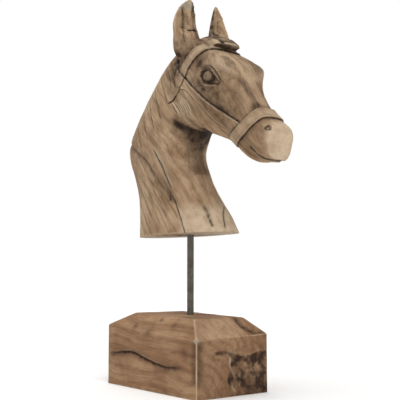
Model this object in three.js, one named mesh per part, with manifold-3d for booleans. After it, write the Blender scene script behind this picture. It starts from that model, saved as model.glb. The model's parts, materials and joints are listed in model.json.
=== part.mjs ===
// A carved wooden horse head on a stand: one bust carved from a single log, held above a hip-topped
// wooden block by a steel rod that is let into both.
//
// Millimetres, +Z up. The origin is the middle of the block's underside. The horse looks along +X, and
// its left side is +Y. The bust is symmetric about the vertical plane that holds the rod.
import * as THREE from "three";
import { mergeVertices } from "three/addons/utils/BufferGeometryUtils.js";
import Module from "manifold-3d";

const wasm = await Module();
wasm.setup();

// ---- driving dimensions -------------------------------------------------------------------------

const BLOCK = { length: 221, width: 128 };
// How far the block's top is set back from each side: the four sawn slopes.
const SLOPE = { back: 45, front: 31, left: 18, right: 20 };
// Sawn by hand, the eave and the top are both a little higher at the back than at the front.
const EAVE = { back: 89, front: 82, frontRight: 76.5 };
const TOP = { back: 108, front: 104 };

// The rod stands at this place on the block, and the bust's middle plane holds it.
const ROD = { x: 5, y: 7, diameter: 10, foot: 65, head: 272 };
const FIT_GAP = 0.3; // all round the rod in its sockets
const SLIVER = 0.06; // the thinnest triangle that is kept

const BUST_FOOT = 224; // height of the bust's flat underside

const HEAD_SLOPE = Math.PI / 4; // the head's long axis falls forward by this angle
const HEAD_AT = new THREE.Vector3(60, 0, 430); // a point inside the cheek, measured from the rod's axis

// The ears: where their middles start, how tall they are, and how far they are turned outwards.
const EAR = { x: 30, y: 28, z: 470, length: 104, turnOut: 0.3 };

const STRAP_PROUD = 2; // how far the carved bridle stands out of the head

// Along and up the head: the eye's middle, the slit's half length and half height, and its tilt.
const EYE = { along: 15, up: 30.5, halfLong: 20, halfTall: 9.5, depth: 5, tilt: 0.29 };
const EYEBALL = { radius: 8.5, along: 12, up: 30.5, out: 33.5 };

const NOSTRIL = { along: 147, up: 42.5, out: 21, halfLong: 5, halfTall: 2.6 };
const MOUTH = { depth: 2.6, gape: 1.8 };

// The hollow line down the side of the neck, from the crest to the foot of the chest: place and height.
const NECK_LINE = [
  [-150, 384],
  [-127, 373],
  [-83, 354],
  [-55, 337],
  [-22, 303],
  [12, 270],
  [26, 246],
  [38, 220],
];
// Behind the line the side steps in by this share, and comes out again over this distance.
const NECK_STEP = { share: 0.1, fade: 45, lip: 11 };

// Horizontal sections of the neck: height, back of the crest, front of the throat, half width.
const NECK = [
  [BUST_FOOT, -119, 96, 46],
  [250, -117, 77, 46],
  [285, -119, 46, 45],
  [320, -132, 24.5, 44],
  [348, -147, 18, 43],
  [368, -153, 28, 43],
  [388, -143.5, 40, 43],
  [415, -121.5, 44, 42],
  [445, -92.5, 45, 40],
  [470, -66, 44, 36],
  [490, -40, 38, 30],
  [504, -14, 32, 21],
  [510, 2, 28, 10],
];
// Where the neck's half width is taken: share of the way from crest to throat, share of the width.
const NECK_SIDE = [
  [0.02, 0.3],
  [0.18, 0.66],
  [0.48, 1],
  [0.78, 0.88],
  [0.95, 0.5],
];

// Sections across the head's long axis: place along the axis, face line, jaw line, half width and drop
// of the edge of the face, and half widths at the eye, at the cheek and at the jaw.
const HEAD = [
  [-80, 30, 4, 10, 6, 14, 14, 10],
  [-64, 42, -24, 24, 7, 33, 35, 24],
  [-42, 52, -48, 28, 5, 39, 41, 28],
  [-18, 58, -62, 31, 3, 40, 42, 29],
  [4, 61, -63, 38, 2, 40, 43, 29],
  [22, 63, -55, 42, 2, 39, 42, 27],
  [36, 60, -47, 34, 3, 36, 41, 24],
  [54, 55, -38.5, 23, 2, 32, 37, 21],
  [76, 51, -28.5, 15, 2, 26, 32, 18],
  [98, 47.5, -21.5, 13, 2, 23, 28, 17],
  [116, 46, -21, 15, 3, 25, 28, 16],
  [134, 46.5, -18, 18, 3, 27, 28, 17],
  [150, 48, -12, 18, 3, 27, 27, 16],
  [158.5, 39, -4, 17, 2, 24, 25, 15],
  [167, 27, 2, 15, 2, 20, 20, 13],
  [173, 19, 7, 11, 1, 14, 14, 10],
  [176.5, 15, 11, 6, 0.5, 8, 8, 6],
];
// How far up from the jaw line to the face line the eye, cheek and jaw half widths are taken.
const HEAD_LEVELS = [0.72, 0.4, 0.08];

// Sections up an ear: share of its height, half width, thickness, how far the front stands out (less
// than nothing where it is hollow), the middle's shift forwards and outwards, and how far the outer
// rim curls forwards.
const EAR_SECTIONS = [
  [0, 10, 20, 9, 4, -13, 2],
  [0.15, 17.5, 28, 14, 1, 1, 6],
  [0.3, 19.2, 32, 15, 0, 3, 8.5],
  [0.46, 18.5, 30, 9, -1, 3, 8],
  [0.58, 17.5, 25, -3, -3.5, 4, 6],
  [0.73, 16, 14, -4, -4, 3, 4.5],
  [0.87, 12.2, 6, -2, -2, 1, 2.5],
  [0.95, 7, 4, -0.5, 0, -1.5, 1],
  [1, 2, 2, 0.6, 1, -3, 0],
];

// Sections of the forelock, which lies forwards over the brow: place along X, top, underside, half width.
const FORELOCK = [
  [24, 512, 496, 13],
  [38, 518, 494, 19],
  [56, 516, 491, 21],
  [74, 511, 488, 22.5],
  [87, 505, 489, 21.5],
  [93, 500, 490, 20],
  [95, 497, 491, 17],
];

// The bridle's straps in side view, as corners along and up the head.
const NOSEBAND = {
  above: [
    [92, -18],
    [98, -5],
    [104, 9],
    [105.5, 22],
    [106, 40],
    [110, 54],
  ],
  below: [
    [108, -20],
    [116, -7],
    [123, 8],
    [125.5, 24],
    [127, 42],
    [131, 54],
  ],
};
const CHEEKPIECE = {
  above: [
    [-74, 1],
    [-50, -1],
    [-24, 0.5],
    [17, 3],
    [59, 8],
    [106, 16],
  ],
  below: [
    [-74, -15],
    [-52, -19],
    [-28, -18],
    [-8, -9.5],
    [35, -7],
    [63, -10],
    [98, -5],
  ],
};
const BROWBAND = {
  above: [
    [-14, 70],
    [-24, 54],
    [-29, 40],
    [-31, 26],
    [-29.5, 12],
    [-26, -2],
  ],
  below: [
    [-34, 72],
    [-44, 60],
    [-48, 46],
    [-49.5, 28],
    [-48, 14],
    [-42, -2],
  ],
};
const MOUTH_LINE = [
  [143, 5.5],
  [158, 4],
  [168, 6],
  [176, 10],
  [186, 17],
];

// ---- helpers ------------------------------------------------------------------------------------

// A table's rows as one smooth function of the share of the way down the table.
function smoothRows(rows) {
  const columns = rows[0].map(
    (_, column) => new THREE.SplineCurve(rows.map((row, i) => new THREE.Vector2(i, row[column]))),
  );
  return (share) => columns.map((curve) => curve.getPoint(share).y);
}

// An outline that is the same on both sides: the points of one side, between a first and a last point
// on the middle plane. Each point is its place on the middle plane and its distance from it.
function bothSides(first, side, last) {
  const other = side.map(([place, out]) => [place, -out]).reverse();
  return [[first, 0], ...side, [last, 0], ...other];
}

// A closed skin: a capped cylinder whose rings are moved onto smooth closed outlines. outlineAt(share)
// gives the control points, in space, of the outline at that share of the way along.
function loft(around, along, outlineAt) {
  const skin = new THREE.CylinderGeometry(1, 1, 1, around, along);
  const at = skin.getAttribute("position");
  const outlines = Array.from({ length: along + 1 }, (_, level) => {
    const curve = new THREE.CatmullRomCurve3(outlineAt(level / along), true, "centripetal");
    const ring = Array.from({ length: around }, (_, k) => curve.getPoint(k / around));
    const middle = ring.reduce((sum, p) => sum.add(p), new THREE.Vector3()).divideScalar(around);
    return { ring, middle };
  });
  for (let i = 0; i < at.count; i++) {
    const { ring, middle } = outlines[Math.round((at.getY(i) + 0.5) * along)];
    const onRim = Math.hypot(at.getX(i), at.getZ(i)) > 0.5;
    const turn = Math.round((Math.atan2(at.getX(i), at.getZ(i)) / (2 * Math.PI)) * around);
    const p = onRim ? ring[(turn + around) % around] : middle;
    at.setXYZ(i, p.x, p.y, p.z);
  }
  return skin;
}

// A three.js geometry as a solid, turned right side out.
function solid(geometry) {
  const bare = geometry.index ? geometry.toNonIndexed() : geometry.clone();
  bare.deleteAttribute("normal");
  bare.deleteAttribute("uv");
  const merged = mergeVertices(bare, 1e-4);
  const vertProperties = merged.attributes.position.array;
  const build = (triVerts) => new wasm.Manifold(new wasm.Mesh({ numProp: 3, vertProperties, triVerts }));
  const made = build(new Uint32Array(merged.index.array));
  return made.volume() > 0 ? made : build(new Uint32Array(merged.index.array).reverse());
}

// A solid as a three.js geometry, without the slivers that cuts leave behind.
function skinOf(made) {
  const mesh = made.asOriginal().simplify(SLIVER).getMesh();
  return new THREE.BufferGeometry()
    .setAttribute("position", new THREE.BufferAttribute(mesh.vertProperties, 3))
    .setIndex(new THREE.BufferAttribute(mesh.triVerts, 1));
}

// The socket that the rod stands in: its axis is the rod's, and it is drilled from one height to another.
function rodSocket(x, y, from, to) {
  const drill = new THREE.CylinderGeometry(1, 1, to - from, 32);
  drill.scale(ROD.diameter / 2 + FIT_GAP, 1, ROD.diameter / 2 + FIT_GAP).rotateX(Math.PI / 2);
  return solid(drill.translate(x, y, (from + to) / 2));
}

// ---- the neck -----------------------------------------------------------------------------------

const neckAt = smoothRows(NECK);

const neckLineAt = smoothRows([...NECK_LINE].reverse());

// Where the hollow line passes at a height.
function neckLinePlace(z) {
  const [foot, top] = [NECK_LINE.at(-1)[1], NECK_LINE[0][1]];
  return neckLineAt(THREE.MathUtils.clamp((z - foot) / (top - foot), 0, 1))[0];
}

// The share by which the neck's side is cut back at a place in side view.
function cutBack(x, z) {
  const behind = neckLinePlace(z) - x;
  const reach = behind > 0 ? NECK_STEP.fade : NECK_STEP.lip;
  return NECK_STEP.share * Math.exp(-Math.abs(behind) / reach);
}

function neck() {
  const skin = loft(48, 30, (share) => {
    const [z, back, front, half] = neckAt(share);
    const side = NECK_SIDE.map(([place, out]) => [THREE.MathUtils.lerp(back, front, place), out * half]);
    return bothSides(back, side, front).map(([x, y]) => new THREE.Vector3(x, y, z));
  });
  const at = skin.getAttribute("position");
  for (let i = 0; i < at.count; i++) {
    at.setY(i, at.getY(i) * (1 - cutBack(at.getX(i), at.getZ(i))));
  }
  return solid(skin);
}

// ---- the head -----------------------------------------------------------------------------------

const headAt = smoothRows(HEAD);

// Turns a shape drawn along the head's own axis into its place on the bust.
function onHead(geometry) {
  const place = new THREE.Matrix4().makeRotationY(HEAD_SLOPE).setPosition(HEAD_AT);
  return solid(geometry.applyMatrix4(place));
}

// The head's form, all of it stood out by the same amount, and its nose carried forwards by as much.
function head(proud = 0) {
  const skin = loft(40, 32, (share) => {
    const [along, top, bottom, edge, drop, ...halves] = headAt(share);
    const side = [
      [top - drop + proud, edge + proud],
      ...halves.map((half, i) => [THREE.MathUtils.lerp(bottom, top, HEAD_LEVELS[i]), half + proud]),
    ];
    const outline = bothSides(top + proud, side, bottom - proud);
    return outline.map(([z, y]) => new THREE.Vector3(along + share * proud, y, z));
  });
  return onHead(skin);
}

// A flat shape in the head's side view, carried right through the head from one side to the other.
function through(shape) {
  const depth = 120;
  const slab = new THREE.ExtrudeGeometry(shape, { depth, bevelEnabled: false, curveSegments: 4 });
  return onHead(slab.translate(0, 0, -depth / 2).rotateX(Math.PI / 2));
}

function smoothLine(corners) {
  return new THREE.SplineCurve(corners.map(([along, up]) => new THREE.Vector2(along, up))).getPoints(6);
}

// A strap's outline: up one smooth edge and back down the other.
function strapShape({ above, below }) {
  return new THREE.Shape([...smoothLine(above), ...smoothLine(below).reverse()]);
}

function bridle() {
  const straps = [NOSEBAND, CHEEKPIECE, BROWBAND].map((strap) => through(strapShape(strap)));
  return head(STRAP_PROUD).intersect(wasm.Manifold.union(straps));
}

// The slit of the mouth, as deep as it is carved into the surface.
function mouthSlit() {
  const line = smoothLine(MOUTH_LINE);
  const lower = line.map(({ x, y }) => new THREE.Vector2(x, y - MOUTH.gape)).reverse();
  return through(new THREE.Shape([...line, ...lower])).subtract(head(-MOUTH.depth));
}

// A ball stretched to half lengths along, across and up the head, tilted, and set on one side.
function headBall(halves, tilt, along, out, up, segments) {
  const ball = new THREE.SphereGeometry(1, segments, segments / 2);
  return onHead(ball.scale(...halves).rotateY(-tilt).translate(along, out, up));
}

function eyeSocket(side) {
  const out = side * (EYEBALL.out + EYE.depth);
  return headBall([EYE.halfLong, EYE.depth, EYE.halfTall], EYE.tilt, EYE.along, out, EYE.up, 16);
}

function eyeball(side) {
  const { radius, along, up, out } = EYEBALL;
  return headBall([radius, radius, radius], 0, along, side * out, up, 14);
}

function nostril(side) {
  const { along, up, out, halfLong, halfTall } = NOSTRIL;
  return headBall([halfLong, halfTall * 1.6, halfTall], EYE.tilt, along, side * out, up, 10);
}

// ---- the ears and the forelock ------------------------------------------------------------------

const earAt = smoothRows(EAR_SECTIONS);

// The ear on one side, +1 for the left and -1 for the right, opening forwards and outwards.
function ear(side) {
  const skin = loft(16, 16, (share) => {
    const [up, half, thick, front, forwards, outwards, rim] = earAt(share);
    const outline = [
      [front, 0.2 * half],
      [0.5 * front + 0.12 * thick + 0.4 * rim, 0.65 * half],
      [0.12 * thick + rim, half + 0.43 * rim],
      [-0.3 * thick, 0.8 * half],
      [-0.5 * thick, 0],
      [-0.3 * thick, -0.8 * half],
      [0.12 * thick, -1.07 * half],
      [0.5 * front + 0.12 * thick, -0.5 * half],
    ];
    return outline.map(([x, y]) =>
      new THREE.Vector3(x, y, up * EAR.length)
        .applyAxisAngle(new THREE.Vector3(0, 0, 1), EAR.turnOut)
        .add(new THREE.Vector3(EAR.x + forwards, EAR.y + outwards, EAR.z)),
    );
  });
  return solid(skin.scale(1, side, 1));
}

const forelockAt = smoothRows(FORELOCK);

function forelock() {
  const skin = loft(12, 9, (share) => {
    const [x, top, bottom, half] = forelockAt(share);
    const side = [
      [THREE.MathUtils.lerp(bottom, top, 0.8), 0.75 * half],
      [THREE.MathUtils.lerp(bottom, top, 0.2), half],
    ];
    return bothSides(top, side, bottom).map(([z, y]) => new THREE.Vector3(x, y, z));
  });
  return solid(skin);
}

// ---- the pieces ---------------------------------------------------------------------------------

function bust() {
  const sides = [1, -1];
  let made = wasm.Manifold.union([neck(), head(), bridle(), forelock(), ...sides.map(ear)]);
  for (const side of sides) {
    made = made.subtract(eyeSocket(side)).subtract(nostril(side)).add(eyeball(side));
  }
  made = made.subtract(mouthSlit());
  return skinOf(made.subtract(rodSocket(0, 0, BUST_FOOT - 1, ROD.head + FIT_GAP)));
}

// A box with one more row of corners round its sides, at the eave, and its top drawn in.
function block() {
  const skin = new THREE.BoxGeometry(BLOCK.length, BLOCK.width, 2, 1, 1, 2);
  const at = skin.getAttribute("position");
  const halfLong = BLOCK.length / 2;
  const halfWide = BLOCK.width / 2;
  for (let i = 0; i < at.count; i++) {
    const front = at.getX(i) > 0;
    const left = at.getY(i) > 0;
    const level = at.getZ(i);
    const corner = left ? EAVE.front : EAVE.frontRight;
    if (level === -1) at.setZ(i, 0);
    if (level === 0) at.setZ(i, front ? corner : EAVE.back);
    if (level === 1) {
      at.setX(i, front ? halfLong - SLOPE.front : SLOPE.back - halfLong);
      at.setY(i, left ? halfWide - SLOPE.left : SLOPE.right - halfWide);
      at.setZ(i, front ? TOP.front : TOP.back);
    }
  }
  return skinOf(solid(skin).subtract(rodSocket(ROD.x, ROD.y, ROD.foot - FIT_GAP, TOP.back + 1)));
}

function rod() {
  const radius = ROD.diameter / 2;
  const bar = new THREE.CylinderGeometry(radius, radius, ROD.head - ROD.foot, 32);
  return bar.rotateX(Math.PI / 2).translate(0, 0, (ROD.foot + ROD.head) / 2);
}

// ---- the object ---------------------------------------------------------------------------------

const carvedWood = new THREE.MeshStandardMaterial({ color: 0xa58c70, roughness: 0.75, metalness: 0 });
const blockWood = new THREE.MeshStandardMaterial({ color: 0x8f6a4a, roughness: 0.7, metalness: 0 });
const steel = new THREE.MeshStandardMaterial({ color: 0x4a443e, roughness: 0.45, metalness: 1 });

const sculpture = new THREE.Group();
function add(name, geometry, material, x, y) {
  const mesh = new THREE.Mesh(geometry, material);
  mesh.name = name;
  mesh.position.set(x, y, 0);
  sculpture.add(mesh);
}

add("base_block", block(), blockWood, 0, 0);
add("support_rod", rod(), steel, ROD.x, ROD.y);
add("horse_bust", bust(), carvedWood, ROD.x, ROD.y);

export default sculpture;
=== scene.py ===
import json
import math

import bpy
import numpy as np
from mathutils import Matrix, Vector, noise

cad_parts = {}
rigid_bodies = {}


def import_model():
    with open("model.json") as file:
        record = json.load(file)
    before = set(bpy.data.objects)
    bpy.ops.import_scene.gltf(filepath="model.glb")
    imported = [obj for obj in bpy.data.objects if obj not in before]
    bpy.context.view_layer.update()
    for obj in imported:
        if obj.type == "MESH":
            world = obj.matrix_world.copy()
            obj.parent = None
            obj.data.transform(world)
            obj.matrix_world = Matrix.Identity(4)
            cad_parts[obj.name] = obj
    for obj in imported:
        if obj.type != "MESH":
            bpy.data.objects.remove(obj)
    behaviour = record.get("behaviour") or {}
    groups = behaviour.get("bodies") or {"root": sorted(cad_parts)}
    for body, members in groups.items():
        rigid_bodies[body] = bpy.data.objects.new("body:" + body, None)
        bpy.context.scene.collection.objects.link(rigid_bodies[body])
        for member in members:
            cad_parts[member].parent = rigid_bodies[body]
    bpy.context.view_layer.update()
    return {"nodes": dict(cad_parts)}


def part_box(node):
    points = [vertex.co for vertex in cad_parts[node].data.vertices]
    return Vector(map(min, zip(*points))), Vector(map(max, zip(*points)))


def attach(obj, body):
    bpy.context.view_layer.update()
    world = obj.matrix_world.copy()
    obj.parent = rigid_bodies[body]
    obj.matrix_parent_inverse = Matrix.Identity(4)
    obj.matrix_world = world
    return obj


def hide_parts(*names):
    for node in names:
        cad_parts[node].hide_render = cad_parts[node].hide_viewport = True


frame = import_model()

# ---- sizes ----------------------------------------------------------------------------------------
# Metres here. The carving tables further down are in millimetres: the bust's from the rod's axis at
# the height of the block's underside, the block's from the middle of its underside.

MM = 0.001
ROD_AXIS = Vector((0.005, 0.007, 0.0))

BUST_SKIN = 0.0011  # how far apart the points of the bust's skin are while it is carved
BLOCK_SKIN = 0.0012
MOST_FACES = 185000  # a finished skin is thinned to this many triangles
TINY = 0.00002  # points nearer than this are one point
ROD = {"radius": 0.005, "foot": 0.065, "head": 0.272, "chamfer": 0.0006, "sides": 64}
SOCKET = 5.3  # radius of the rod's sockets, in millimetres
BUST_FOOT = 224.0  # height of the bust's flat underside, in millimetres
LOOKS_DOWN = -0.35  # a normal whose Z is under this belongs to an underside

# The head's own axes, in the bust's middle plane: along it from poll to muzzle, and up out of its face.
HEAD_AT = (60.0, 430.0)
HEAD_TURN = math.sqrt(0.5)

CAMERA = {"turn": 52.5, "lift": 5.7, "away": 1.150, "height": 0.162, "lens": 69.0, "aside": 0.71}


# ---- working on a skin of points ------------------------------------------------------------------

def use(piece):
    """Make one piece the only selected and active one."""
    bpy.ops.object.select_all(action="DESELECT")
    piece.select_set(True)
    bpy.context.view_layer.objects.active = piece


def soft_step(low, high, value):
    """0 up to low, 1 from high on, and a soft step between."""
    t = np.clip((value - low) / (high - low), 0.0, 1.0)
    return t * t * (3.0 - 2.0 * t)


def smooth_line(corners, steps=8):
    """Points along a smooth line through a few corners."""
    c = np.array(corners, dtype=float)
    c = np.vstack([2 * c[0] - c[1], c, 2 * c[-1] - c[-2]])
    t = np.linspace(0.0, 1.0, steps, endpoint=False)[:, None]
    parts = []
    for p0, p1, p2, p3 in zip(c, c[1:], c[2:], c[3:]):
        bend = 2 * p0 - 5 * p1 + 4 * p2 - p3
        twist = 3 * p1 - p0 - 3 * p2 + p3
        parts.append(0.5 * (2 * p1 + (p2 - p0) * t + bend * t**2 + twist * t**3))
    return np.vstack(parts + [c[-2:-1]])


def distance_to(flat, corners):
    """How far points in a plane are from a smooth line (positive on its left), and how far along it."""
    line = smooth_line(corners)
    far = np.full(len(flat), 1e9)
    along = np.zeros(len(flat))
    for k, (a, b) in enumerate(zip(line, line[1:])):
        run = b - a
        t = np.clip(((flat - a) @ run) / (run @ run), 0.0, 1.0)
        gap = flat - a - t[:, None] * run
        size = np.hypot(gap[:, 0], gap[:, 1])
        left = np.where(run[0] * gap[:, 1] < run[1] * gap[:, 0], -1.0, 1.0)
        nearer = size < np.abs(far)
        far = np.where(nearer, size * left, far)
        along = np.where(nearer, (k + t) / (len(line) - 1), along)
    return far, along


def ripple(points, length, seed, stretch=(1.0, 1.0, 1.0)):
    """Soft noise from -1 to 1 at each point, with ripples of about one length in millimetres."""
    spots = points / (np.array(stretch) * length) + seed
    return np.array([noise.noise(Vector(spot)) for spot in spots])


class Skin:
    """The surface of a wooden piece while it is carved by hand, point by point, in millimetres."""

    def __init__(self, node, name, spacing, origin):
        piece = frame["nodes"][node].copy()
        piece.data = piece.data.copy()
        piece.name = piece.data.name = name
        piece.data.materials.clear()
        bpy.context.scene.collection.objects.link(piece)
        use(piece)
        bpy.ops.object.mode_set(mode="EDIT")
        bpy.ops.mesh.select_all(action="SELECT")
        bpy.ops.mesh.remove_doubles(threshold=TINY)
        bpy.ops.object.mode_set(mode="OBJECT")
        even = piece.modifiers.new("even_skin", "REMESH")
        even.mode = "VOXEL"
        even.voxel_size = spacing
        bpy.ops.object.modifier_apply(modifier=even.name)
        bpy.ops.object.shade_smooth()
        self.piece = piece
        self.origin = np.array(origin) / MM
        low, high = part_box(node)
        self.low, self.high = np.array(low) / MM - self.origin, np.array(high) / MM - self.origin
        self.read()

    def read(self):
        """Take the points and normals from the mesh, and start the painted marks afresh."""
        mesh = self.piece.data
        flat = np.empty(len(mesh.vertices) * 3)
        mesh.vertices.foreach_get("co", flat)
        self.points = flat.reshape(-1, 3) / MM - self.origin
        mesh.vertex_normals.foreach_get("vector", flat)
        self.normals = flat.reshape(-1, 3).copy()
        # The darkening coats hold cracks, spots and stains together with painted shade; the pale coat holds
        # paler wood and wear together with painted highlights.
        self.marks = {name: np.zeros(len(self.points)) for name in ("dirt_and_shade", "stain_and_shade", "pale", "grey")}

    def write(self):
        """Put the moved points back into the mesh and read their new normals, keeping the marks."""
        mesh = self.piece.data
        self.points = np.clip(self.points, self.low, self.high)
        mesh.vertices.foreach_set("co", ((self.points + self.origin) * MM).ravel())
        mesh.update()
        marks = self.marks
        self.read()
        self.marks = marks

    def push(self, amount):
        """Move every point along its normal."""
        self.points += self.normals * amount[:, None]

    def mark(self, name, amount):
        """Paint a mark, at each point as dark as the darkest coat so far."""
        self.marks[name] = np.maximum(self.marks[name], amount)

    def eased(self, rounds, share):
        """The points, each drawn towards the middle of its neighbours again and again."""
        mesh = self.piece.data
        ends = np.empty(len(mesh.edges) * 2, dtype=np.int64)
        mesh.edges.foreach_get("vertices", ends)
        here = np.concatenate([ends[0::2], ends[1::2]])
        there = np.concatenate([ends[1::2], ends[0::2]])
        count = np.bincount(here, minlength=len(self.points))
        points = self.points.copy()
        for _ in range(rounds):
            totals = [np.bincount(here, points[there, k], len(points)) for k in range(3)]
            points += share[:, None] * (np.stack(totals, axis=1) / count[:, None] - points)
        gap = np.linalg.norm(self.points[here] - self.points[there], axis=1)
        self.spacing = np.bincount(here, gap, len(points)) / count
        return points

    def smooth(self, rounds, share):
        """Sand the skin, more where the share is larger."""
        self.points = self.eased(rounds, 0.5 * share)
        self.write()

    def finish(self):
        """Store the marks on the mesh, with how worn each point is: 1 on an edge, 0 in a hollow."""
        proud = ((self.points - self.eased(10, np.full(len(self.points), 0.5))) * self.normals).sum(axis=1)
        self.marks["worn"] = np.clip(0.5 + 0.9 * proud / np.maximum(self.spacing, 0.5), 0.0, 1.0)
        for name, amount in self.marks.items():
            layer = self.piece.data.attributes.new(name, "FLOAT", "POINT")
            layer.data.foreach_set("value", np.clip(amount, 0.0, 1.0).astype(np.float32))
        corners = len(self.piece.data.loops)
        triangles = corners - 2 * len(self.piece.data.polygons)
        if triangles > MOST_FACES:
            use(self.piece)
            thinner = self.piece.modifiers.new("thinner_skin", "DECIMATE")
            thinner.ratio = MOST_FACES / triangles
            bpy.ops.object.modifier_apply(modifier=thinner.name)
        self.clean()

    def clean(self):
        """Take out the squashed faces that thinning leaves, and close what they leave open."""
        use(self.piece)
        bpy.ops.object.mode_set(mode="EDIT")
        bpy.ops.mesh.select_mode(type="VERT")
        bpy.ops.mesh.select_all(action="SELECT")
        bpy.ops.mesh.remove_doubles(threshold=TINY)
        bpy.ops.mesh.dissolve_degenerate(threshold=TINY)
        bpy.ops.mesh.select_all(action="SELECT")
        bpy.ops.mesh.fill_holes(sides=8)
        bpy.ops.mesh.select_all(action="SELECT")
        bpy.ops.mesh.quads_convert_to_tris()
        bpy.ops.mesh.normals_make_consistent(inside=False)
        bpy.ops.mesh.select_all(action="DESELECT")
        bpy.ops.object.mode_set(mode="OBJECT")
        self.drop_scraps()

    def drop_scraps(self):
        """Keep only what hangs together with the point nearest to the mean height."""
        corners = self.piece.data.vertices
        middle = sum(corner.co.z for corner in corners) / len(corners)
        min(corners, key=lambda corner: abs(corner.co.z - middle)).select = True
        bpy.ops.object.mode_set(mode="EDIT")
        bpy.ops.mesh.select_linked()
        bpy.ops.mesh.select_all(action="INVERT")
        bpy.ops.mesh.delete(type="VERT")
        bpy.ops.object.mode_set(mode="OBJECT")


def seen_in(skin, plane):
    """The points as seen flat: from the side, from the front, from above, or along the head's own axes."""
    x, y, z = skin.points.T
    if plane == "head":
        ahead, above = (x - HEAD_AT[0]) * HEAD_TURN, (z - HEAD_AT[1]) * HEAD_TURN
        return np.stack([ahead - above, ahead + above], axis=1)
    return np.stack({"side": (x, z), "front": (y, z), "top": (x, y)}[plane], axis=1)


def cut(skin, plane, line, deep, wide, dark=0.0, shift=0.0, taper=0.0, where=None, mark="dirt_and_shade"):
    """Cut a groove along a line seen flat, and darken it. A negative depth raises a ridge."""
    flat = seen_in(skin, plane)
    corners = np.array(line, dtype=float)
    margin = 4.0 * wide + abs(shift)
    near = ((flat > corners.min(axis=0) - margin) & (flat < corners.max(axis=0) + margin)).all(axis=1)
    if where is not None:
        near &= where(skin) > 0.0
    spots = np.flatnonzero(near)
    if len(spots) == 0:
        return
    far, along = distance_to(flat[spots], corners)
    hand = ripple(skin.points[spots], 9.0, 31.0)
    far = far + 0.5 * hand
    dark = dark * np.clip(0.9 + 0.6 * ripple(skin.points[spots], 5.0, 33.0), 0.0, 1.0)
    strength = np.exp(-(((far - shift) / wide) ** 2))
    halo = np.exp(-(((far - shift) / (1.5 * wide)) ** 2))
    if taper:
        ends = soft_step(0.0, taper, along) * soft_step(0.0, taper, 1.0 - along)
        strength, halo = strength * ends, halo * ends
    if where is not None:
        share = where(skin)[spots]
        strength, halo = strength * share, halo * share
    amount = np.zeros(len(skin.points))
    amount[spots] = strength
    skin.push(-deep * amount)
    amount[spots] = dark * halo
    skin.mark(mark, amount)


# ---- where a cut may go ---------------------------------------------------------------------------

def out_between(low, high):
    """Only the points between two distances to either side of the middle plane."""
    def where(skin):
        out = np.abs(skin.points[:, 1])
        return soft_step(low - 1.5, low, out) * (1.0 - soft_step(high, high + 1.5, out))
    return where


def near_side(skin):
    """Only the horse's right side."""
    return soft_step(-2.0, 6.0, -skin.points[:, 1])


def front_faces(skin):
    """Only surfaces that look forwards."""
    return soft_step(0.0, 0.3, skin.normals[:, 0])


# ---- the bust's carving ---------------------------------------------------------------------------

# The straps' two edges, along and up the head. The groove lies just outside each edge.
STRAP_EDGES = [
    # edge, groove shift, darkness
    ([(92, -18), (98, -5), (104, 9), (105.5, 22), (106, 40), (110, 54)], 0.9, 0.8),
    ([(108, -20), (116, -7), (123, 8), (125.5, 24), (127, 42), (131, 54)], -0.9, 0.95),
    ([(-74, 1), (-50, -1), (-24, 0.5), (17, 3), (59, 8), (104, 16)], 0.9, 1.0),
    ([(-74, -15), (-52, -19), (-28, -18), (-8, -9.5), (35, -7), (63, -10), (97, -5)], -0.9, 0.15),
    ([(-14, 70), (-24, 54), (-29, 40), (-31, 26), (-29.5, 12), (-26, -2)], 0.9, 1.0),
    ([(-34, 72), (-44, 60), (-48, 46), (-49.5, 28), (-48, 14), (-42, -2)], -0.9, 0.8),
]
STRAP_FACES = [
    # middle line of the strap, half width, how pale
    ([(100, -14), (112, 10), (116, 28), (119, 54)], 6.0, 0.6),
    ([(-25, 68), (-35, 54), (-39, 40), (-40, 24), (-38, 8)], 5.5, 0.7),
]
THROAT_LINE = [(-26, 1), (-25, -8), (-28, -20), (-33, -34), (-33, -43), (-37, -51)]

# The eyeball: its middle, its half lengths, the tilt of its long axis, how far out it stands, and how
# much further in its rim lies.
EYE = {"at": (11, 29.5), "long": 11.8, "tall": 8.6, "tilt": 35.0, "out": 41.8, "round": 5.5}
LIDS = [
    # line along and up the head, depth, half width, darkness
    ([(-8, 27), (-4, 35), (5, 42), (17, 46), (27, 45), (34, 41), (42, 37)], 1.4, 1.7, 0.5),
    ([(-6, 25), (0, 35), (11, 40.5), (21, 39), (30, 36.5), (42, 36)], 2.0, 1.6, 0.85),
    ([(-5, 25), (3, 21), (13, 20), (23, 25), (31, 31), (41, 35)], 1.8, 1.7, 0.85),
    ([(0, 14), (14, 13.5), (27, 20), (36, 28)], 0.5, 1.8, 0.35),
]
LID_RIM = [(14, 44), (22, 42.5), (29, 38.5), (37, 36.5)]

NOSTRIL = [(144, 41.5), (145.5, 39.4), (148.5, 39.2), (150.5, 41)]
MOUTH = [(143, 5.5), (151, 5), (158, 4), (168, 6), (176, 10), (183, 15)]
NASAL_LINE = [(46, 56.5), (59, 54), (73, 50.5), (86, 49), (97, 47.5), (105, 47)]
BROW_STREAK = [(3, 61), (14, 64), (26, 63.5), (39, 59)]
# Where the first ridge of hair on the cheek starts, the step to the next, how each runs, and how many.
CHEEK_HAIR = {"first": (-35, -48), "step": (4.6, 4.0), "run": [(0, 0), (16, -3), (31, -8.5)], "count": 7}

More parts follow.
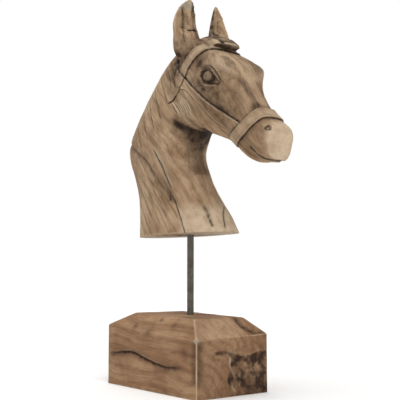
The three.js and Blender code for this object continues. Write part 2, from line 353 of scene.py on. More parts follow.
NECK_LINE = [(-150, 384), (-127, 373), (-83, 354), (-55, 337), (-22, 303), (12, 270)]
CRACK = [(-43, 363), (-32, 345), (-20, 329), (-10, 313), (0, 298), (8, 287)]
KNOT = [(1, 281), (1.5, 276)]
FOOT_CRACK = [(6, 280), (12, 271), (21, 257), (29, 243), (36, 228), (40, 216)]
FLANK_GRAIN = [
    [(-112, 338), (-80, 314), (-52, 290), (-30, 268)],
    [(-95, 324), (-46, 290), (-10, 259), (1, 245)],
    [(-104, 308), (-76, 288), (-52, 266), (-38, 246)],
    [(-85, 302), (-46, 275), (-26, 253), (-14, 232)],
    [(-70, 322), (-38, 300), (-14, 276), (6, 252)],
    [(-106, 286), (-84, 268), (-66, 248), (-56, 230)],
]
CHEST_CUT = [(55, 267), (67, 252), (77, 237), (82, 229)]
CHEST_FRONT_CUT = [(19, 268), (-1, 248), (-9, 226)]
MANE_HAIRS = [
    [(-14, 478), (-4, 463), (0, 451), (4, 438)],
    [(-2, 478), (6, 464), (9, 450), (10, 440)],
    [(-34, 470), (-20, 452), (-10, 434), (-3, 414)],
    [(-50, 456), (-36, 436), (-25, 414), (-17, 392)],
    [(-66, 442), (-52, 422), (-41, 400), (-33, 378)],
    [(-84, 424), (-70, 404), (-58, 384), (-50, 366)],
    [(-102, 404), (-88, 386), (-76, 370), (-66, 356)],
]

# Lines on the ears' fronts; the darkness along each hollow and across its lower end is painted shade in the
# hollow.
NEAR_EAR = [
    # line seen from the front, depth, half width, darkness
    ([(-36, 564), (-33, 554), (-31, 545), (-32, 535), (-35, 527)], 1.4, 2.4, 0.42),
    ([(-35, 527), (-40, 520), (-43, 511), (-43, 500)], 0.6, 1.3, 0.5),
    ([(-31, 525), (-24, 526.5), (-17, 525)], 1.8, 1.3, 1.0),
    ([(-29, 556), (-27, 544), (-26, 534)], 0.4, 1.2, 0.35),
]
FAR_EAR = [
    ([(24, 568), (19, 556), (16, 544), (14, 532)], 1.2, 2.2, 0.4),
    ([(13, 528), (21, 530), (30, 531), (38, 533)], 1.6, 2.4, 0.65),
    ([(28, 562), (26, 548), (27, 536)], 0.4, 1.2, 0.45),
    ([(35, 556), (36, 544), (38, 534)], 0.4, 1.2, 0.3),
]

FORELOCK_TOP = [(24, 512), (38, 518), (56, 516), (74, 511), (87, 505), (95, 497)]
FORELOCK_EDGE = [(40, 512), (49, 508), (59, 503), (73, 494), (84, 486), (91, 482)]

# Height, and how far forward the throat's dark begins there.
NECK_SHADOW = [
    (270, 60), (284, 52), (298, 38), (309, 30), (323, 22), (340, 17), (360, 18), (376, 14), (396, 2),
]
# The fold between jaw and throat, seen from the side.
JAW_CREASE = [(-2, 398), (8, 393), (16, 386.5), (23, 383), (29, 378), (36, 374)]

FACE_SHADOWS = [
    # middle along and up the head, reach along and up, darkness
    (-17, 32, 12, 20, 0.8),
    (-30, -26, 12, 11, 0.45),
    (10, 13, 26, 8, 0.8),
    (46, 19, 26, 9, 0.8),
    (66, 38, 22, 8, 0.45),
    (80, 24, 18, 8, 0.6),
    (-60, 6, 20, 30, 1.1),
    (-44, -30, 12, 16, 0.4),
    (40, 28, 60, 30, 0.42),
    (20, 62, 60, 16, 0.25),
    (60, 0, 46, 8, 0.6),
    (58, 13, 34, 8, 0.7),
    (20, -22, 30, 9, 0.25),
    (30, -46, 34, 10, 0.4),
    (138, 4, 16, 9, 0.42),
]


def carve_straps(skin):
    for edge, shift, dark in STRAP_EDGES:
        cut(skin, "head", edge, 0.6 + 0.7 * dark, 1.1, dark, shift)
        cut(skin, "head", edge, 0.0, 2.6, 0.45 * dark, 2.5 * shift)
        cut(skin, "head", edge, -0.5, 1.2, 0.0, -1.2 * shift)
        # Painted highlight: a thin light line along each strap edge, on the strap's side of its groove.
        cut(skin, "head", edge, 0.0, 0.8, 0.5 * dark, -1.6 * shift, mark="pale")
    for line, wide, pale in STRAP_FACES:
        cut(skin, "head", line, 0.0, wide, pale, mark="pale")
    cut(skin, "head", THROAT_LINE, 1.7, 1.1, 1.0)


def carve_eyes(skin):
    for line, deep, wide, dark in LIDS:
        cut(skin, "head", line, deep, wide, dark, taper=0.12)
    cut(skin, "head", LID_RIM, -0.9, 0.9, 0.9, taper=0.2, mark="pale")
    ahead, above = seen_in(skin, "head").T
    upper = np.interp(ahead, *np.transpose(LIDS[1][0]), left=0.0, right=0.0)
    lower = np.interp(ahead, *np.transpose(LIDS[2][0]), left=90.0, right=90.0)
    # Painted shade inside the eye's opening between the lids, less of it towards the front corner.
    opening = soft_step(-1.0, 1.0, upper - above) * soft_step(-1.0, 1.0, above - lower)
    skin.mark("dirt_and_shade", opening * (0.25 + 0.6 * soft_step(34, 22, ahead)))
    flat = seen_in(skin, "head") - np.array(EYE["at"])
    turn = math.radians(EYE["tilt"])
    long = flat @ (math.cos(turn), math.sin(turn)) / EYE["long"]
    tall = flat @ (-math.sin(turn), math.cos(turn)) / EYE["tall"]
    far = np.hypot(long, tall)
    spots = np.flatnonzero((far < 1.0) & (np.abs(skin.points[:, 1]) > 25))
    dome = EYE["out"] - EYE["round"] * far[spots] ** 2
    side = np.sign(skin.points[spots, 1])
    skin.points[spots, 1] = side * np.maximum(np.abs(skin.points[spots, 1]), dome)
    # The eyeball is darkened a little all over, and its sunken rim much more, as painted shade round the
    # ball.
    skin.marks["dirt_and_shade"][spots] = 0.28 + 0.6 * soft_step(0.68, 0.92, far[spots])
    skin.mark("dirt_and_shade", 0.5 * soft_step(0.36, 0.2, far) * (far < 0.5))
    skin.write()


def carve_face(skin):
    cut(skin, "head", NOSTRIL, 1.2, 1.3, 1.1, where=out_between(13, 40))
    cut(skin, "head", MOUTH, 1.5, 1.2, 1.0)
    cut(skin, "head", NASAL_LINE, 0.7, 1.5, 0.55, taper=0.15, where=out_between(9, 24))
    cut(skin, "head", BROW_STREAK, 0.5, 2.2, 0.5, taper=0.25, where=out_between(18, 34))
    for k in range(CHEEK_HAIR["count"]):
        start = np.array(CHEEK_HAIR["first"]) + k * np.array(CHEEK_HAIR["step"])
        hair = start + np.array(CHEEK_HAIR["run"]) * (0.8 + 0.17 * (k % 3))
        strong = (1.0, 0.6, 0.85)[k % 3]
        cut(skin, "head", hair, 0.6, 0.9, 0.5 * strong, taper=0.3)
        cut(skin, "head", hair, -0.5, 1.3, 1.2 * strong, shift=2.2, taper=0.3, mark="pale")


def carve_neck(skin):
    cut(skin, "side", NECK_LINE, 1.3, 5.5, 0.4, where=out_between(4, 80), mark="stain_and_shade")
    cut(skin, "side", NECK_LINE, 0.7, 1.9, 0.38, where=out_between(4, 80), taper=0.2)
    cut(skin, "side", FOOT_CRACK, 2.2, 1.2, 0.7, where=out_between(4, 80))
    cut(skin, "side", CRACK, 1.5, 1.2, 0.7, taper=0.2, where=near_side)
    cut(skin, "side", CRACK, 0.0, 2.6, 0.9, shift=1.5, taper=0.2, where=near_side, mark="grey")
    cut(skin, "side", KNOT, 1.4, 3.2, 0.6, where=near_side)
    cut(skin, "side", CHEST_CUT, 1.3, 1.0, 0.85, taper=0.25, where=near_side)
    cut(skin, "front", CHEST_FRONT_CUT, 1.4, 1.0, 0.8, taper=0.2, where=front_faces)
    for grain in FLANK_GRAIN:
        cut(skin, "side", grain, 0.35, 1.6, 0.3, taper=0.2, where=out_between(10, 80))
    for hair in MANE_HAIRS:
        cut(skin, "side", hair, 0.6, 1.1, 0.5, taper=0.2, where=out_between(4, 80))


def carve_ears(skin):
    for line, deep, wide, dark in NEAR_EAR + FAR_EAR:
        cut(skin, "front", line, deep, wide, dark, taper=0.12, where=ear_fronts)


def ear_fronts(skin):
    """Only the fronts of the ears."""
    return soft_step(-0.1, 0.2, skin.normals[:, 0]) * (skin.points[:, 2] > 497) * (skin.points[:, 0] < 62)


def forelock_top(skin):
    """Only the top of the forelock."""
    roof = np.interp(skin.points[:, 0], *np.transpose(FORELOCK_TOP))
    on = (np.abs(skin.points[:, 0] - 60) < 35) & (np.abs(skin.points[:, 1]) < 22)
    return on * soft_step(-7.0, -4.0, skin.points[:, 2] - roof)


def carve_forelock(skin):
    cut(skin, "side", FORELOCK_EDGE, 0.8, 1.3, 0.45, taper=0.08, where=out_between(13, 32))
    for k in range(-4, 5):
        strand = [(26, 2.2 * k), (46, 3.6 * k + 1.0), (68, 4.4 * k - 0.8), (94, 4.6 * k + 0.6)]
        cut(skin, "top", strand, 1.0, 1.2, 0.5, where=forelock_top)


def spot(along, across, middle, reach):
    """A soft oval spot, 1 in its middle."""
    return np.exp(-(((along - middle[0]) / reach[0]) ** 2) - ((across - middle[1]) / reach[1]) ** 2)


def shade_throat(skin, uneven):
    """Painted shade under the jaw, in its crease and on the sawn underside; a painted highlight low on the
    chest.
    """
    x, _, z = skin.points.T
    ahead, above = seen_in(skin, "head").T
    # Painted shade in a broad band beneath the fold of the jaw.
    cut(skin, "side", JAW_CREASE, 0.0, 7.0, 1.0, shift=-4.0, where=out_between(0, 36), mark="stain_and_shade")
    edge = np.interp(z, *np.transpose(NECK_SHADOW))
    jaw = np.interp(x, *np.transpose(JAW_CREASE), left=394)
    below = above < -38
    throat = soft_step(-9.0, 11.0, x - edge + 0.4 * uneven) * soft_step(276, 322, z + uneven) * below
    # Painted shade on the throat under the jaw, over its real darker colour.
    under_jaw = throat * (ahead < 60) * soft_step(5.0, -1.0, z - jaw)
    skin.mark("stain_and_shade", np.minimum(1.3 * under_jaw, 1.0))
    skin.mark("dirt_and_shade", 0.4 * under_jaw * soft_step(322, 366, z + 0.5 * uneven))
    # Painted shade just below the line of the jaw.
    crease = soft_step(4.0, -1.0, z - jaw) * soft_step(-16, -5, z - jaw) * soft_step(0, 12, x) * below
    skin.mark("dirt_and_shade", 0.75 * crease)
    # Painted highlight low on the chest.
    skin.mark("pale", soft_step(14, 34, x + uneven) * soft_step(276, 254, z + uneven))
    # Painted shade on the sawn underside.
    skin.mark("stain_and_shade", 0.3 * (z < BUST_FOOT + 0.9))


def shade_forelock(skin, rough):
    """Brown locks, and painted shade on the underside."""
    x, y, z = skin.points.T
    # Painted shade under the forelock, deepest where it faces down.
    under = soft_step(58, 66, x) * (np.abs(y) < 22) * (z > 478) * (z < 494)
    skin.mark("stain_and_shade", 0.85 * under * soft_step(0.1, -0.3, skin.normals[:, 2]))
    skin.mark("dirt_and_shade", 0.5 * under * soft_step(72, 84, x) * soft_step(-0.1, -0.5, skin.normals[:, 2]))
    skin.mark("stain_and_shade", forelock_top(skin) * np.clip(0.7 + 0.5 * rough, 0.0, 1.0))


def shade_ears(skin, uneven, rough):
    """A grey tip on the right ear, and painted shade in the hollow of the left one."""
    _, y, z = skin.points.T
    skin.mark("grey", soft_step(556, 561, z + 0.3 * uneven) * (y < 0))
    # Painted shade in the hollow of the left ear.
    inner = soft_step(27, 17, y + 3 * rough) * soft_step(6, 10, y) * ear_fronts(skin) * (z > 515)
    skin.mark("stain_and_shade", 0.55 * inner)


def shade_face(skin, uneven, rough):
    """A paler muzzle with a painted highlight on its front, a painted highlight on the brow, and dark blots
    round the eye, beside the nose and along the straps, part painted shade and part stains.
    """
    out = np.abs(skin.points[:, 1])
    ahead, above = seen_in(skin, "head").T
    # Painted highlight where the muzzle faces forward, over a slightly paler tone on all of the muzzle.
    lit_front = soft_step(0.35, 0.85, skin.normals[:, 0])
    skin.mark("pale", (0.1 + 1.1 * lit_front) * soft_step(128, 142, ahead + 0.4 * uneven) * (above > 4))
    skin.mark("stain_and_shade", 0.2 * np.exp(-(((ahead - 66) / 42.0) ** 2)) * soft_step(38, 46, above))
    skin.mark("stain_and_shade", 1.1 * spot(ahead, out, (101, 12), (8.0, 6.0)) * (above > 34))
    # Painted highlight on the brow ridge above each eye.
    skin.mark("pale", 0.8 * spot(ahead, above, (24, 58), (14.0, 5.0)) * (out > 30))
    for at, up, long, tall, much in FACE_SHADOWS:
        blot = spot(ahead, above, (at, up), (long, tall))
        skin.mark("stain_and_shade", much * blot * (1.0 + 0.6 * rough) * (out > 16))


def shade(skin):
    """Paint the marks that no carved line brings with it."""
    uneven = ripple(skin.points, 22.0, 5.0) * 7.0
    rough = ripple(skin.points, 7.0, 6.0)
    shade_throat(skin, uneven)
    shade_forelock(skin, rough)
    shade_ears(skin, uneven, rough)
    shade_face(skin, uneven, rough)


def make_bust():
    skin = Skin("horse_bust", "carved_bust", BUST_SKIN, ROD_AXIS)
    height = skin.points[:, 2]
    skin.smooth(12, soft_step(BUST_FOOT + 1, BUST_FOOT + 5, height) * soft_step(572, 540, height))
    keep_socket(skin)
    height = skin.points[:, 2]
    uneven = ripple(skin.points, 24.0, 1.0) * 0.5 + ripple(skin.points, 9.0, 2.0) * 0.2 + 0.3
    skin.push(uneven * soft_step(BUST_FOOT + 1, BUST_FOOT + 8, height) * soft_step(560, 530, height))
    skin.write()
    carve_straps(skin)
    carve_neck(skin)
    carve_face(skin)
    carve_ears(skin)
    carve_forelock(skin)
    skin.write()
    carve_eyes(skin)
    shade(skin)
    keep_socket(skin)
    skin.write()
    skin.finish()
    return skin.piece


def keep_socket(skin):
    """The rod's socket stays round, and the sawn foot flat."""
    r = np.hypot(skin.points[:, 0], skin.points[:, 1])
    wall = (r < 8.5) & (skin.points[:, 2] < 272) & (skin.points[:, 2] > BUST_FOOT - 2)
    skin.points[wall, :2] *= (SOCKET / np.maximum(r[wall], 0.1))[:, None]
    sole = (skin.points[:, 2] < BUST_FOOT + 0.8) & (skin.normals[:, 2] < LOOKS_DOWN)
    skin.points[sole, 2] = BUST_FOOT


# ---- the block's carving --------------------------------------------------------------------------

BLOCK_CRACK = [(-112, 44), (-95, 46.5), (-76, 49), (-49, 51), (-34, 50), (-22, 47), (-3, 43), (14, 39.5),
               (40, 37), (63, 38), (84, 39)]
BLOCK_VEINS = [
    [(-9, 61), (-5, 55), (-6, 42), (1, 28), (-3, 15), (7, 4)],
    [(26, 34), (23, 29), (19, 19)],
    [(-14, 58), (-4, 55), (5, 58)],
    [(9, 30), (14, 22), (11, 12)],
    [(36, 44), (31, 38), (34, 31)],
]
SLOPE_STREAK = [(72, 24), (82, 29), (92, 27), (101, 32), (109, 44), (112, 62)]
# Dark spots: their middles and sizes.
BLOCK_SPOTS = [(11, -50, 101, 5), (-2, -63, 84, 7), (46, -54, 96, 6), (-40, -60, 88, 6), (84, -60, 60, 9)]
# The dark flaw on the front: the height of its upper edge at each Y, and the Y where its body begins.
FLAW = {"y": (-36, -14, 4, 24, 44, 70), "top": (61, 62, 55, 51, 56, 57), "low_y": -4}


def looking(axis, sign):
    """Only surfaces that look along one axis."""
    def where(skin):
        return soft_step(0.45, 0.7, sign * skin.normals[:, axis])
    return where


def shade_front(skin, uneven, rough):
    """The dark flaw on the block's front face, a little sunk, and painted light on the slope above it."""
    _, y, z = skin.points.T
    front = soft_step(0.5, 0.8, skin.normals[:, 0]) * (z < 79)
    lid = np.interp(y, FLAW["y"], FLAW["top"])
    across = soft_step(-6.0, 4.0, y - FLAW["low_y"] + 9.0 * uneven)
    within = soft_step(-3.0, 3.0, lid - z + 3.0 * rough) * across
    lip = np.exp(-(((z - lid + 2.5) / 3.5) ** 2)) * soft_step(-38, -26, y)
    flaw = front * np.clip(within * (0.75 + 0.7 * uneven + 0.4 * rough) + lip, 0.0, 1.0)
    flaw = np.maximum(flaw, front * soft_step(0, 26, y + 14 * uneven) * soft_step(34, 12, z + 8 * rough))
    skin.push(-0.9 * flaw * (0.6 + 0.6 * rough))
    skin.mark("stain_and_shade", np.maximum(flaw, 0.22 * front))
    # Painted light on the slope that faces up and forward.
    slope = soft_step(0.3, 0.5, skin.normals[:, 0]) * soft_step(0.4, 0.6, skin.normals[:, 2])
    skin.mark("pale", 0.25 * slope * soft_step(30, 0, y + 16 * uneven))


def shade_edge(skin, uneven):
    """The front right edge: worn pale on its very line, dark beside it, and chipped near its top."""
    x, y, z = skin.points.T
    edge = np.hypot(110.5 - x, 64.0 + y)
    low = soft_step(16, 26, z) * soft_step(80, 70, z)
    skin.mark("dirt_and_shade", 0.5 * soft_step(15, 5, edge + 4 * uneven) * low)
    skin.marks["dirt_and_shade"] *= soft_step(1.2, 3.0, edge)
    skin.mark("pale", 0.35 * soft_step(2.2, 1.0, edge) * (z < 79))
    chip = np.sqrt((x - 108) ** 2 + (y + 63) ** 2 + (z - 77) ** 2)
    skin.push(-1.3 * np.exp(-((chip / 4.0) ** 2)))
    skin.mark("grey", soft_step(6.0, 3.0, chip))


def shade_block(skin):
    """Paint the block's marks, and dent its flaw and its chipped edge."""
    x, y, z = skin.points.T
    uneven = ripple(skin.points, 14.0, 9.0)
    rough = ripple(skin.points, 5.0, 11.0)
    shade_front(skin, uneven, rough)
    for sx, sy, sz, size in BLOCK_SPOTS:
        far = np.sqrt((x - sx) ** 2 + (y - sy) ** 2 + (z - sz) ** 2) / size
        skin.mark("dirt_and_shade", 0.5 * np.exp(-(far**2) * 1.4) * (1.0 + 0.5 * rough))
    shade_edge(skin, uneven)


def make_block():
    skin = Skin("base_block", "sawn_block", BLOCK_SKIN, (0.0, 0.0, 0.0))
    skin.smooth(5, soft_step(0.5, 2.0, skin.points[:, 2]))
    skin.push(ripple(skin.points, 30.0, 21.0) * 0.35 * soft_step(1, 5, skin.points[:, 2]) - 0.2)
    skin.write()
    near = looking(1, -1.0)
    cut(skin, "side", BLOCK_CRACK, 2.0, 1.3, 0.55, taper=0.3, where=near)
    cut(skin, "side", BLOCK_CRACK, 0.9, 3.0, 0.8, shift=-0.8, taper=0.1, where=near, mark="stain_and_shade")
    for vein in BLOCK_VEINS:
        cut(skin, "front", vein, -0.9, 1.1, 1.0, taper=0.1, where=looking(0, 1.0), mark="pale")
    cut(skin, "top", SLOPE_STREAK, 0.8, 3.2, 0.85, taper=0.1, where=looking(2, 1.0))
    skin.write()
    shade_block(skin)
    keep_block(skin)
    skin.write()
    skin.finish()
    return skin.piece


def keep_block(skin):
    """The rod's socket stays round, and the underside flat."""
    z = skin.points[:, 2]
    axis = np.array(ROD_AXIS)[:2] / MM
    from_axis = skin.points[:, :2] - axis
    r = np.hypot(from_axis[:, 0], from_axis[:, 1])
    wall = (r < 8.0) & (z > 65.5)
    skin.points[wall, :2] = axis + from_axis[wall] * (SOCKET / np.maximum(r[wall], 0.1))[:, None]
    skin.points[(z < 0.8) & (skin.normals[:, 2] < LOOKS_DOWN), 2] = 0.0


# ---- the rod --------------------------------------------------------------------------------------

def make_rod():
    tall = ROD["head"] - ROD["foot"]
    middle = (ROD_AXIS.x, ROD_AXIS.y, ROD["foot"] + tall / 2)
    bpy.ops.object.select_all(action="DESELECT")
    bpy.ops.mesh.primitive_cylinder_add(
        vertices=ROD["sides"], radius=ROD["radius"], depth=tall, location=middle
    )
    rod = bpy.context.active_object
    rod.name = rod.data.name = "steel_rod"
    bpy.ops.object.transform_apply(location=True, rotation=True, scale=True)
    bpy.ops.object.mode_set(mode="EDIT")
    bpy.ops.mesh.select_mode(type="FACE")
    bpy.ops.mesh.select_all(action="DESELECT")
    bpy.ops.object.mode_set(mode="OBJECT")
    for face in rod.data.polygons:
        face.select = abs(face.normal.z) > 0.9
    bpy.ops.object.mode_set(mode="EDIT")
    bpy.ops.mesh.inset(thickness=ROD["chamfer"], depth=0.0)
    bpy.ops.object.mode_set(mode="OBJECT")
    for vertex in rod.data.vertices:
        r = math.hypot(vertex.co.x - ROD_AXIS.x, vertex.co.y - ROD_AXIS.y)
        if r > ROD["radius"] - 1e-5:
            vertex.co.z += math.copysign(ROD["chamfer"], middle[2] - vertex.co.z)
    use(rod)
    bpy.ops.object.shade_smooth_by_angle(angle=math.radians(35))
    return rod


# ---- materials ------------------------------------------------------------------------------------

def add(tree, kind, inputs=None, **settings):
    """Add one node; each input is given a value or is linked from a socket."""
    made = tree.nodes.new(kind)
    for name, value in settings.items():
        setattr(made, name, value)
    for name, value in (inputs or {}).items():
        if isinstance(value, bpy.types.NodeSocket):
            tree.links.new(value, made.inputs[name])
        else:
            made.inputs[name].default_value = value
    return made


def blend(tree, how, amount, under, over):
    """Mix two colours."""
    mix = add(tree, "ShaderNodeMix", {0: amount, 6: under, 7: over}, data_type="RGBA", blend_type=how)
    return mix.outputs[2]


def sums(tree, how, a, b):
    return add(tree, "ShaderNodeMath", {0: a, 1: b}, operation=how).outputs[0]


def spread(tree, value, low, high, to_low=0.0, to_high=1.0):
    inputs = {0: value, 1: low, 2: high, 3: to_low, 4: to_high}
    return add(tree, "ShaderNodeMapRange", inputs, interpolation_type="SMOOTHSTEP").outputs[0]


def cloud(tree, place, scale, detail, roughness):
    """Soft noise from 0 to 1."""
    inputs = {"Vector": place, "Scale": scale, "Detail": detail, "Roughness": roughness}
    return add(tree, "ShaderNodeTexNoise", inputs).outputs[0]


def wood_grain():
    """Weathered wood: fibres, darker streaks and growth rings that run along Z, and slow blotches."""
    group = bpy.data.node_groups.new("wood_grain", "ShaderNodeTree")
    face = group.interface
    face.new_socket("Coordinates", in_out="INPUT", socket_type="NodeSocketVector")
    for name in ("Light", "Middle", "Dark"):
        face.new_socket(name, in_out="INPUT", socket_type="NodeSocketColor")
    face.new_socket("Color", in_out="OUTPUT", socket_type="NodeSocketColor")
    face.new_socket("Roughness", in_out="OUTPUT", socket_type="NodeSocketFloat")
    face.new_socket("Height", in_out="OUTPUT", socket_type="NodeSocketFloat")
    given = group.nodes.new("NodeGroupInput")
    result = group.nodes.new("NodeGroupOutput")
    place = given.outputs["Coordinates"]

    drift = add(group, "ShaderNodeTexNoise", {"Vector": place, "Scale": 9.0, "Detail": 2.0})
    nudge = add(group, "ShaderNodeVectorMath", {0: drift.outputs["Color"], 3: 0.03}, operation="SCALE")
    bent = add(group, "ShaderNodeVectorMath", {0: place, 1: nudge.outputs[0]}, operation="ADD").outputs[0]
    long = add(group, "ShaderNodeMapping", {"Vector": bent, "Scale": (1.0, 1.0, 0.07)}).outputs[0]
    fibre = cloud(group, long, 430.0, 4.0, 0.65)
    streak = cloud(group, long, 130.0, 5.0, 0.6)
    rings = add(
        group, "ShaderNodeTexWave",
        {"Vector": long, "Scale": 22.0, "Distortion": 7.0, "Detail": 3.0, "Detail Scale": 1.2},
        wave_type="RINGS", rings_direction="Z", wave_profile="SIN",
    )
    blotch = cloud(group, place, 16.0, 4.0, 0.55)

    light = spread(group, blotch, 0.36, 0.64)
    colour = blend(group, "MIX", light, given.outputs["Middle"], given.outputs["Light"])
    band = spread(group, rings.outputs["Fac"], 0.45, 1.0, 0.0, 0.3)
    colour = blend(group, "MIX", band, colour, given.outputs["Dark"])
    line = spread(group, streak, 0.47, 0.72, 0.0, 0.5)
    colour = blend(group, "MIX", line, colour, given.outputs["Dark"])
    pores = spread(group, fibre, 0.48, 0.72, 0.0, 0.55)
    colour = blend(group, "MIX", pores, colour, given.outputs["Dark"])
    group.links.new(colour, result.inputs["Color"])
    group.links.new(spread(group, streak, 0.3, 0.7, 0.62, 0.85), result.inputs["Roughness"])
    fine = sums(group, "MULTIPLY", fibre, 0.35)
    broad = sums(group, "MULTIPLY", streak, 0.6)
    sunk = sums(group, "ADD", fine, broad)
    group.links.new(sums(group, "SUBTRACT", 1.0, sunk), result.inputs["Height"])
    return group


def srgb(red, green, blue):
    """A colour from its everyday 0 to 255 numbers."""
    parts = [v / 255 for v in (red, green, blue)]
    return tuple(v / 12.92 if v <= 0.04045 else ((v + 0.055) / 1.055) ** 2.4 for v in parts) + (1.0,)


def mark_of(tree, name):
    return add(tree, "ShaderNodeAttribute", attribute_name=name, attribute_type="GEOMETRY").outputs["Fac"]


def coat(tree, colour, mark, uneven, strength, over):
    """Lay another colour over the wood where it is marked, unevenly."""
    amount = sums(tree, "MULTIPLY", mark, uneven)
    return blend(tree, "MIX", sums(tree, "MULTIPLY", amount, strength), colour, srgb(*over))


def make_wood(name, grain, turn, shift, tones, bump):
    """One piece's wood: the shared grain, turned and moved, in three tones, and its marks."""
    wood = bpy.data.materials.new(name)
    wood.use_nodes = True
    tree = wood.node_tree
    shader = tree.nodes["Principled BSDF"]
    place = add(tree, "ShaderNodeTexCoord").outputs["Object"]
    turned = add(tree, "ShaderNodeMapping", {"Vector": place, "Location": shift, "Rotation": turn}).outputs[0]
    look = add(tree, "ShaderNodeGroup", node_tree=grain)
    tree.links.new(turned, look.inputs["Coordinates"])
    for socket, tone in tones.items():
        look.inputs[socket].default_value = srgb(*tone)

    uneven = spread(tree, cloud(tree, place, 70.0, 5.0, 0.65), 0.35, 0.65, 0.55, 1.0)
    worn = mark_of(tree, "worn")
    edge = spread(tree, worn, 0.56, 0.95, 0.0, 0.75)
    hollow = spread(tree, worn, 0.46, 0.1, 0.0, 0.75)
    colour = coat(tree, look.outputs["Color"], edge, uneven, 1.0, (200, 174, 141))
    colour = blend(tree, "MIX", hollow, colour, srgb(70, 47, 31))
    # Pale coat: paler wood, veins and a worn edge, and painted highlights on the straps' edges, the chest,
    # the muzzle's front, the brow and the block's slope.
    colour = coat(tree, colour, mark_of(tree, "pale"), uneven, 0.8, (202, 181, 154))
    colour = coat(tree, colour, mark_of(tree, "grey"), uneven, 0.75, (168, 158, 142))
    # Dark brown coat: stains, the block's flaw and the forelock's locks, and painted shade under the jaw,
    # under the forelock, in the left ear's hollow, on the face and on the bust's underside.
    colour = coat(tree, colour, mark_of(tree, "stain_and_shade"), uneven, 1.15, (50, 32, 20))
    # Near-black coat: cracks, spots, streaks and carved grooves, and painted shade in the eyes, under the
    # jaw, in its crease, under the forelock and down the ears' hollows.
    colour = blend(tree, "MIX", mark_of(tree, "dirt_and_shade"), colour, srgb(34, 22, 15))

    tree.links.new(colour, shader.inputs["Base Color"])
    tree.links.new(look.outputs["Roughness"], shader.inputs["Roughness"])
    shader.inputs["Specular IOR Level"].default_value = 0.2
    relief = {"Height": look.outputs["Height"], "Strength": bump, "Distance": 0.0012}
    tree.links.new(add(tree, "ShaderNodeBump", relief).outputs[0], shader.inputs["Normal"])
    return wood


def make_steel():
    steel = bpy.data.materials.new("dark_steel")
    steel.use_nodes = True
    tree = steel.node_tree
    shader = tree.nodes["Principled BSDF"]
    place = add(tree, "ShaderNodeTexCoord").outputs["Object"]
    drawn = add(tree, "ShaderNodeMapping", {"Vector": place, "Scale": (1.0, 1.0, 0.08)}).outputs[0]
    lines = add(tree, "ShaderNodeTexNoise", {"Vector": drawn, "Scale": 900.0, "Detail": 3.0})
    rust = add(tree, "ShaderNodeTexNoise", {"Vector": place, "Scale": 60.0, "Detail": 5.0, "Roughness": 0.65})
    shown = spread(tree, rust.outputs[0], 0.45, 0.65, 0.0, 0.8)
    colour = blend(tree, "MIX", shown, srgb(108, 105, 98), srgb(92, 83, 74))
    tree.links.new(colour, shader.inputs["Base Color"])
    shader.inputs["Metallic"].default_value = 0.85
    tree.links.new(spread(tree, lines.outputs[0], 0.3, 0.7, 0.42, 0.62), shader.inputs["Roughness"])
    lift = add(tree, "ShaderNodeBump", {"Height": lines.outputs[0], "Strength": 0.15, "Distance": 0.0003})
    tree.links.new(lift.outputs[0], shader.inputs["Normal"])
    return steel


# ---- camera, light and floor ----------------------------------------------------------------------

def place_camera():
    camera = bpy.data.objects.new("camera", bpy.data.cameras.new("camera"))
    bpy.context.scene.collection.objects.link(camera)
    bpy.context.scene.camera = camera
    camera.data.sensor_width = 36.0
    camera.data.lens = CAMERA["lens"]
    turn = math.radians(CAMERA["turn"])
    away = Vector((math.sin(turn), -math.cos(turn), 0.0)) * CAMERA["away"]
    camera.location = ROD_AXIS + away + Vector((0.0, 0.0, CAMERA["height"]))
    lift = math.radians(CAMERA["lift"])
    camera.rotation_euler = (math.pi / 2 + lift, 0.0, turn - math.radians(CAMERA["aside"]))


def sun(name, spot, wide, strength):
    """A soft light from far away, as wide in the sky as a studio's lamp box."""
    lamp = bpy.data.lights.new(name, "SUN")
    lamp.angle = math.radians(wide)
    lamp.energy = strength
    holder = bpy.data.objects.new(name, lamp)
    bpy.context.scene.collection.objects.link(holder)
    holder.rotation_euler = Vector(spot).to_track_quat("Z", "Y").to_euler()


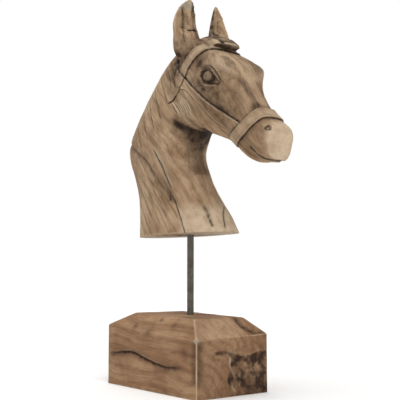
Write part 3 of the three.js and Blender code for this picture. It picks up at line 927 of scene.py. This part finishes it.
def make_studio():
    scene = bpy.context.scene
    scene.view_settings.view_transform = "Standard"
    world = bpy.data.worlds.new("studio")
    world.use_nodes = True
    tree = world.node_tree
    soft = tree.nodes["Background"]
    soft.inputs["Color"].default_value = (1.0, 0.99, 0.98, 1.0)
    soft.inputs["Strength"].default_value = 0.55
    white = add(tree, "ShaderNodeBackground", {"Color": (1.0, 1.0, 1.0, 1.0), "Strength": 1.0})
    path = add(tree, "ShaderNodeLightPath")
    either = {0: path.outputs["Is Camera Ray"], 1: soft.outputs[0], 2: white.outputs[0]}
    seen = add(tree, "ShaderNodeMixShader", either)
    tree.links.new(seen.outputs[0], tree.nodes["World Output"].inputs["Surface"])
    scene.world = world
    sun("key", (1.0, -0.35, 1.1), 35.0, 1.25)
    sun("top", (-0.35, -0.2, 1.0), 60.0, 1.2)


def make_floor():
    bpy.ops.object.select_all(action="DESELECT")
    bpy.ops.mesh.primitive_plane_add(size=12.0, location=(0.0, 0.0, -0.0004))
    floor = bpy.context.active_object
    floor.name = floor.data.name = "floor"
    paper = bpy.data.materials.new("white_paper")
    paper.use_nodes = True
    shader = paper.node_tree.nodes["Principled BSDF"]
    shader.inputs["Base Color"].default_value = (0.95, 0.95, 0.95, 1.0)
    shader.inputs["Roughness"].default_value = 0.9
    floor.data.materials.append(paper)


# ---- everything together --------------------------------------------------------------------------

def put(piece, material, node):
    piece.data.materials.clear()
    piece.data.materials.append(material)
    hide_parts(node)
    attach(piece, "root")


place_camera()
make_studio()
make_floor()
grain = wood_grain()
driftwood = make_wood(
    "driftwood", grain, (0.0, math.radians(38), 0.0), (0.15, 0.12, 0.0),
    {"Light": (184, 157, 126), "Middle": (150, 121, 92), "Dark": (96, 69, 46)}, 0.5,
)
block_wood = make_wood(
    "block_wood", grain, (0.0, math.radians(88), math.radians(4)), (0.03, 0.12, 0.0),
    {"Light": (164, 131, 99), "Middle": (139, 105, 76), "Dark": (101, 68, 45)}, 0.5,
)
put(make_bust(), driftwood, "horse_bust")
put(make_block(), block_wood, "base_block")
put(make_rod(), make_steel(), "support_rod")
